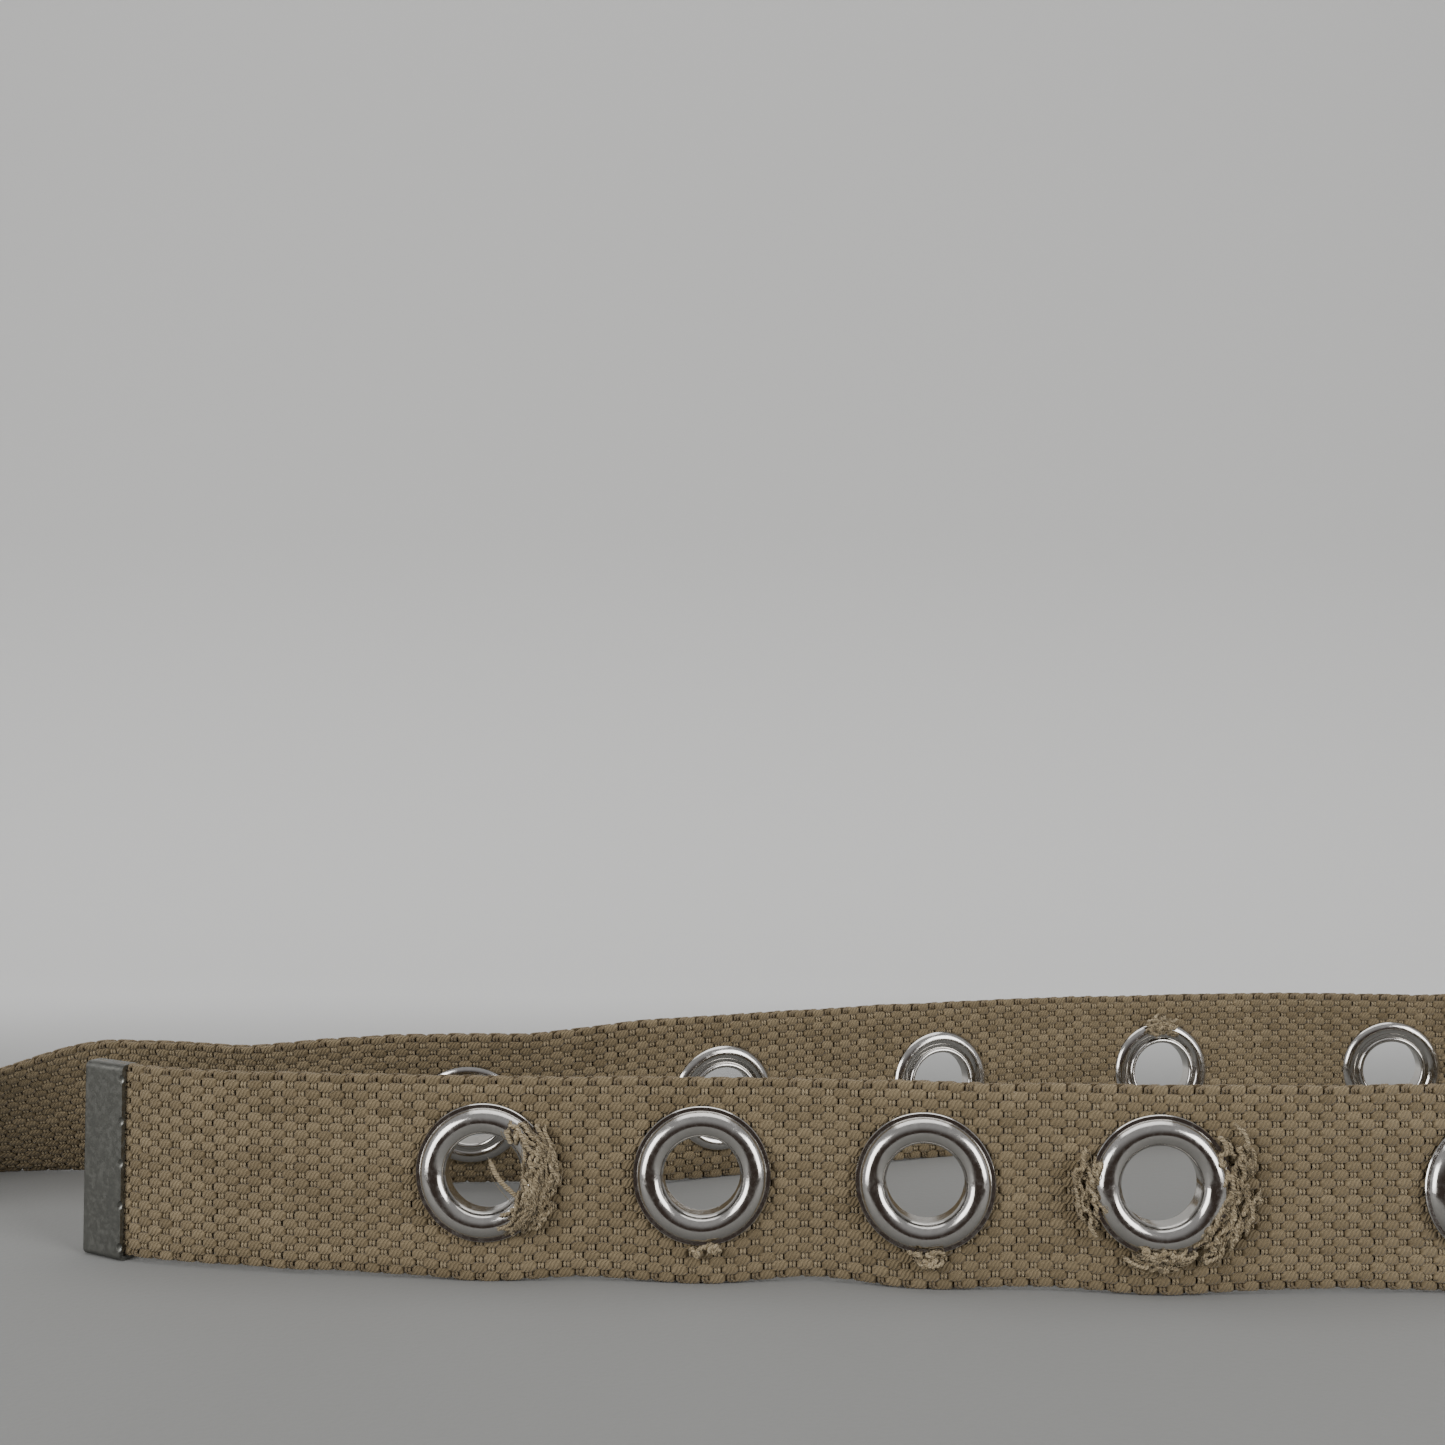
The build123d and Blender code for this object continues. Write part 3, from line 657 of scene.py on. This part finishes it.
def lay_tubes(name, path, half_a, half_n, material, sides=6, world=False, seed=1):
    """One object of thin tubes. The path is in strap space, or in the row frame where world is true.

    A tube in the row frame must never run straight along X, nor one in strap space straight outwards.
    """
    tubes, rings = path.shape[:2]
    if world:
        points = tube_grid(path[..., [1, 2, 0]], half_a, half_n, sides)[0][..., [2, 0, 1]]
    else:
        points, _ = tube_grid(path, half_a, half_n, sides)
        points = place(points[..., 0], points[..., 1], points[..., 2])
    quads = tube_quads(tubes, rings, sides).reshape(-1, 4)
    step = np.linalg.norm(np.diff(path, axis=1), axis=-1)
    along = np.concatenate([np.zeros((tubes, 1)), np.cumsum(step, axis=1)], axis=1)
    u = np.broadcast_to(along[:, :, None], (tubes, rings, sides))
    v = np.broadcast_to(np.arange(sides) / sides, (tubes, rings, sides))
    uv = np.stack([u, v], axis=-1).reshape(-1, 2)[quads]
    uv[np.tile(np.arange(sides), len(quads) // sides) == sides - 1, 2:, 1] = 1.0
    rng = np.random.default_rng(seed)
    tone = np.broadcast_to(rng.uniform(0.2, 0.8, tubes)[:, None, None], (tubes, rings, sides)).ravel()
    # loose yarns, bindings and stitches get no painted shade
    return make_object(
        name, points.reshape(-1, 3), quads, "strap", material, uv=uv,
        floats={"tone": tone, "unshaded": np.ones(points.size // 3)},
    )


def two_ply(path, radius, turn):
    """Two plies that twist round each path, one after the other in the result."""
    t = np.gradient(path, axis=1)
    t /= np.linalg.norm(t, axis=-1, keepdims=True)
    side = np.cross(t, (0.0, 0.0, 1.0))
    side /= np.linalg.norm(side, axis=-1, keepdims=True) + 1e-9
    up = np.cross(side, t)
    step = np.linalg.norm(np.diff(path, axis=1), axis=-1)
    angle = 2 * pi / turn * np.concatenate([np.zeros((len(path), 1)), np.cumsum(step, axis=1)], axis=1)
    offset = radius * (side * np.cos(angle)[..., None] + up * np.sin(angle)[..., None])
    return np.concatenate([path + offset, path - offset])


def ripple(rng, t, size, most_turns):
    """A sine wave down a yarn, with a random number of turns and a random start."""
    return size * np.sin(2 * pi * (rng.uniform(1.0, most_turns) * t + rng.uniform(0, 1)))


def fray(name, stop, bunches, seed, inner=False):
    """Loose two-ply yarns dragged out over a grommet's rim, with finer fibres among them.

    Each bunch is (yarns, first angle, last angle, least radius, greatest radius, sweep in degrees).
    Angles go round from the direction of the strap, and 90 is its upper edge.
    """
    rng = np.random.default_rng(seed)
    t = np.linspace(0, 1, YARN_RINGS)
    radii, heights = (WASHER_RADII, WASHER_HEIGHTS) if inner else (FLANGE_RADII, FLANGE_HEIGHTS)
    paths, sizes = [], []
    for yarns, first, last, least, greatest, sweep in bunches:
        for k in range(yarns):
            start = radians(first + (last - first) * (k + rng.uniform()) / yarns)
            angle = start + radians(sweep * rng.uniform(0.5, 1.2)) * t
            angle += ripple(rng, t, radians(rng.uniform(1, 4)), 2.4)
            r = rng.uniform(least, greatest) + rng.uniform(-1, 1) * (greatest - least) * 0.45 * (t - 0.5)
            r += ripple(rng, t, rng.uniform(0.15, 0.5), 2.6)
            r = np.clip(r, least - 0.3, None)
            arch = rng.uniform(0.1, 1.5) * np.sin(pi * t) ** 0.7
            n = np.interp(r, radii, heights) + YARN_CLEAR + arch
            s, w = STOPS[stop] + r * np.cos(angle), RISES[stop] + r * np.sin(angle)
            paths.append(np.stack([s, w, -n if inner else n], axis=-1))
            sizes.append(rng.uniform(0.85, 1.2))
    finish_fray(name, np.array(paths), np.array(sizes), seed)


def finish_fray(name, path, sizes, seed):
    """The plies of some loose yarns, each thinning to a wisp at both ends, and stray fibres."""
    rng = np.random.default_rng(seed + 500)
    t = np.linspace(0, 1, path.shape[1])
    taper = np.clip(np.minimum(t, 1 - t) / WISP_END, WISP_END, 1) ** 0.6
    plies = two_ply(path, PLY_APART, PLY_TURN)
    half = PLY_R * np.concatenate([sizes, sizes])[:, None] * taper
    fibres = np.repeat(path, 2, axis=0)
    sway = rng.normal(0, 1, (len(fibres), 3, 3)) * FIBRE_SWAY
    for k in range(3):
        fibres = fibres + sway[:, None, k] * np.sin(pi * (k + 1) * t + k)[None, :, None] / (k + 1)
    fibres[..., 2] = np.sign(fibres[..., 2]) * np.maximum(np.abs(fibres[..., 2]), FIBRE_LOW)
    thin = np.full(fibres.shape[:2], FIBRE_R)
    piece = lay_tubes(name, plies, half, half, LOOSE, seed=seed)
    wisps = lay_tubes(name + "_fibres", fibres, thin, thin, LOOSE, sides=4, seed=seed + 1)


def fray_into_hole(name, seed):
    """One thicker yarn that points into the first hole."""
    t = np.linspace(0, 1, 26)
    s = STOPS[0] + 9.0 - 7.9 * t + 0.45 * np.sin(7.0 * t)
    w = RISES[0] - 6.6 + 9.1 * t**1.15
    n = 3.5 + 0.5 * np.sin(pi * t) - 0.9 * t
    finish_fray(name, np.stack([s, w, n], axis=-1)[None], np.array([1.4]), seed)


def bind_edge(name, path):
    """Overcast stitching, as one ridged tube, wrapped round a cut edge. The path is a list of (s, w)."""
    path = np.array(path)
    step = np.linalg.norm(np.diff(path, axis=0), axis=-1)
    along = np.concatenate([[0], np.cumsum(step)])
    dense = np.arange(0, along[-1], BIND_STEP)
    s, w = np.interp(dense, along, path[:, 0]), np.interp(dense, along, path[:, 1])
    wrap = 1 + BIND_WRAP * np.abs(np.sin(pi * dense / BIND_PITCH))
    path = np.stack([s, w, np.zeros_like(s)], axis=-1)[None]
    piece = lay_tubes(name, path, BIND_WIDE * wrap[None], BIND_THICK * wrap[None], THREAD, sides=10)


def bind_slot():
    """Binding all round the prong's slot."""
    reach, half = SLOT_REACH - SLOT_HALF, SLOT_HALF + BIND_WIDE
    path = []
    for way in (1, -1):
        for a in np.linspace(-pi / 2, pi / 2, 13):
            path.append((S_BAR + way * (reach + half * cos(a)), way * half * sin(a)))
    bind_edge("slot_binding", path + path[:1])


def stitch_fold():
    """Each stitch is a thread loop through both layers of the fold."""
    heel_x, heel_y = BAR_X + ORIGIN[0], Y_LAST + ORIGIN[1]
    middle, reach = Z_LAST + LAYER_RISE / 2, (LAYER_RISE + STRAP_THICK) / 2 + STITCH_PROUD
    turn = np.linspace(0, 2 * pi, 29)
    c, d = np.cos(turn), np.sin(turn)
    loops = []
    for u in STITCH_ROWS:
        for k in range(STITCHES):
            y = heel_y + (k - (STITCHES - 1) / 2) * STITCH_PITCH + STITCH_HALF * np.sign(c) * np.abs(c) ** 0.5
            z = middle + reach * np.sign(d) * np.abs(d) ** 0.35
            loops.append(np.stack([np.full_like(y, heel_x + u) + STITCH_SLANT * c, y, z], axis=-1))
    loops = np.array(loops)
    size = np.full(loops.shape[:2], STITCH_R)
    stitching = lay_tubes("stitching", loops, size, size, THREAD, sides=8, world=True, seed=41)
    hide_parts("fold_stitching")


fray("fray_01", 0, (
    (14, 64, 20, 8.4, 13.6, -34),
    (18, 38, -12, 8.2, 14.0, -40),
    (20, 8, -34, 8.0, 14.2, -40),
    (8, -20, -36, 8.6, 14.6, -34),
), 31)
fray("fray_02", 1, ((4, 262, 278, 13.0, 14.2, 8),), 32)
fray("fray_03", 2, ((9, 258, 276, 12.8, 15.0, 9),), 33)
fray("fray_04", 3, (
    (16, 156, 196, 11.8, 16.2, 24),
    (16, 244, 276, 11.6, 15.6, 22),
    (18, 296, 326, 11.2, 16.4, 22),
    (26, -34, 24, 11.4, 17.4, 18),
), 34)
fray("fray_10", 9, ((34, 112, 82, 9.6, 13.2, -18),), 35, inner=True)
fray_into_hole("fray_01_yarn", 36)
bind_slot()
bind_edge("end_binding", [(S_END - END_INSET, -END_HALF), (S_END - END_INSET, END_HALF)])
stitch_fold()

# ---- stage, in metres -------------------------------------------------------------------------------
CAMERA_HEIGHT, CAMERA_TILT = 0.096, radians(2.04)
CAMERA_BESIDE, CAMERA_BEFORE = 0.0039, 0.2763  # from the second grommet
FLOOR_MIDDLE, FLOOR_HALF, FLOOR_FRONT, FLOOR_BACK = 0.05, 4.0, -8.0, 0.35
SWEEP_R, SWEEP_TOP = 0.25, 2.6  # the backdrop curves up behind the belt
PAINTED_SHADE_TO, PALE_FROM = 0.07, 0.34  # painted shade: the floor is grey in front of and under the belt, and pale behind it
LOOK_AT = (0.0, 0.0, 0.02)


def cloth_material():
    """Plain matt cloth with fine specks, and painted shade: grey in front of and under the belt, slowly
    turning pale towards the back.
    """
    material, tree, shader = new_material("floor_cloth", Roughness=0.8, Sheen_Weight=0.2)
    where = add(tree, "ShaderNodeTexCoord").outputs["Object"]
    specks = noise(tree, where, 900.0, 4.0)
    soft = noise(tree, where, 6.0, 2.0)
    depth = add(tree, "ShaderNodeSeparateXYZ", {0: where}).outputs[1]
    # painted shade on the floor in front of and under the belt, fading out behind it
    out_of_painted_shade = remap(tree, depth, PAINTED_SHADE_TO, PALE_FROM, curve="SMOOTHSTEP")
    shade = combine(tree, "MULTIPLY_ADD", soft, 0.10, out_of_painted_shade)
    colour = blend(tree, shade, (0.185, 0.186, 0.178), (0.67, 0.67, 0.66))
    tree.links.new(colour, shader.inputs["Base Color"])
    bump = add(tree, "ShaderNodeBump", {"Strength": 0.3, "Distance": 0.0002, "Height": specks})
    tree.links.new(bump.outputs[0], shader.inputs["Normal"])
    return material


def make_floor():
    """The floor and backdrop, one sheet with a curved sweep between them."""
    profile = [(FLOOR_FRONT, 0.0), (FLOOR_BACK, 0.0)]
    for a in np.linspace(0.1, pi / 2, 16):
        profile.append((FLOOR_BACK + SWEEP_R * sin(a), SWEEP_R - SWEEP_R * cos(a)))
    profile = np.array(profile + [(FLOOR_BACK + SWEEP_R, SWEEP_TOP)])
    xs = np.linspace(-FLOOR_HALF, FLOOR_HALF, 65) + FLOOR_MIDDLE
    x, k = np.meshgrid(xs, np.arange(len(profile)), indexing="ij")
    verts = np.stack([x, profile[k, 0], profile[k, 1]], axis=-1).reshape(-1, 3)
    i, j = np.meshgrid(np.arange(len(xs) - 1), np.arange(len(profile) - 1), indexing="ij")
    corner = (i * len(profile) + j).ravel()
    faces = np.stack([corner, corner + len(profile), corner + len(profile) + 1, corner + 1], axis=-1)
    mesh = bpy.data.meshes.new("floor")
    mesh.from_pydata(verts.tolist(), [], faces.tolist())
    mesh.polygons.foreach_set("use_smooth", np.ones(len(faces), dtype=bool))
    mesh.materials.append(cloth_material())
    floor = bpy.data.objects.new("floor", mesh)
    bpy.context.scene.collection.objects.link(floor)


def area_light(name, spot, target, size, power):
    """A soft rectangular light that faces its target."""
    data = bpy.data.lights.new(name, "AREA")
    data.shape = "RECTANGLE"
    data.size, data.size_y = size
    data.energy = power
    light = bpy.data.objects.new(name, data)
    light.location = spot
    light.rotation_euler = (Vector(target) - Vector(spot)).to_track_quat("-Z", "Y").to_euler()
    bpy.context.scene.collection.objects.link(light)


def make_studio():
    """Surroundings that are pale, but dim and brownish behind the camera, for the plating to reflect."""
    studio = bpy.data.worlds.new("studio")
    bpy.context.scene.world = studio
    studio.use_nodes = True
    tree = studio.node_tree
    direction = add(tree, "ShaderNodeTexCoord").outputs["Generated"]
    split = add(tree, "ShaderNodeSeparateXYZ", {0: direction})
    above = remap(tree, split.outputs[2], 0.22, 0.80, curve="SMOOTHSTEP")
    beside = remap(tree, split.outputs[1], -0.80, -0.35, curve="SMOOTHSTEP")
    colour = blend(tree, combine(tree, "MAXIMUM", above, beside), (0.058, 0.043, 0.036), (0.42, 0.42, 0.43))
    background = tree.nodes["Background"]
    tree.links.new(colour, background.inputs["Color"])
    background.inputs["Strength"].default_value = 1.0


def make_camera():
    """A 53 degree view from in front of the second grommet."""
    data = bpy.data.cameras.new("camera")
    data.sensor_width = 36.0
    data.lens = 36.0
    data.clip_start = 0.01
    camera = bpy.data.objects.new("camera", data)
    second = at(P_TABLE, STOPS[1]) / 1000
    camera.location = (second[0] + CAMERA_BESIDE, second[1] - CAMERA_BEFORE, CAMERA_HEIGHT)
    camera.rotation_euler = (pi / 2 + CAMERA_TILT, 0, 0)
    bpy.context.scene.collection.objects.link(camera)
    bpy.context.scene.camera = camera


make_floor()
area_light("window_left", (-0.85, -0.75, 0.52), LOOK_AT, (0.55, 0.80), 8.6)
area_light("window_right", (0.90, -0.70, 0.52), LOOK_AT, (0.50, 0.70), 6.9)
area_light("ceiling", (0.05, 0.10, 1.5), (0.05, 0.05, 0.0), (1.4, 1.0), 9.0)
make_studio()
make_camera()
